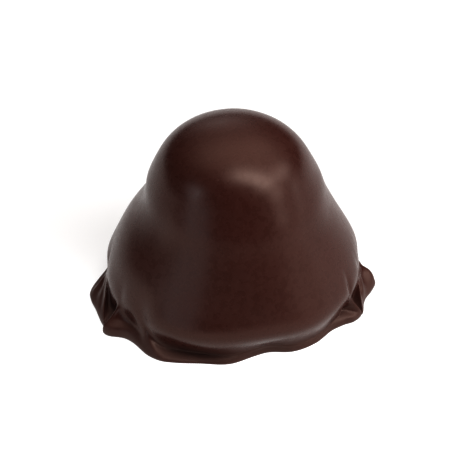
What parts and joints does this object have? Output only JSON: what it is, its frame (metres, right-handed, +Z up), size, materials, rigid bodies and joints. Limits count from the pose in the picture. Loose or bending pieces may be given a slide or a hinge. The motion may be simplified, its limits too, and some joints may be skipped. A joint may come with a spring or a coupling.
{
  "type": "whisky chocolate bonbon",
  "caption": "Bell-shaped bonbon in a smooth dark chocolate coat that runs out into a thin uneven foot, with pinched pleats at its left and right.",
  "frame": {"origin": "middle of the footprint's box, on the flat underside of the foot", "axes": "+Z up through the crown, +X towards the pleats on the right, -Y towards the front"},
  "size_m": [0.0348, 0.031, 0.0242],
  "materials": {
    "dark_chocolate": "satin dark chocolate, faintly speckled"
  },
  "bodies": {
    "root": {"chocolate_bonbon": "dark_chocolate"}
  },
  "joints": []
}
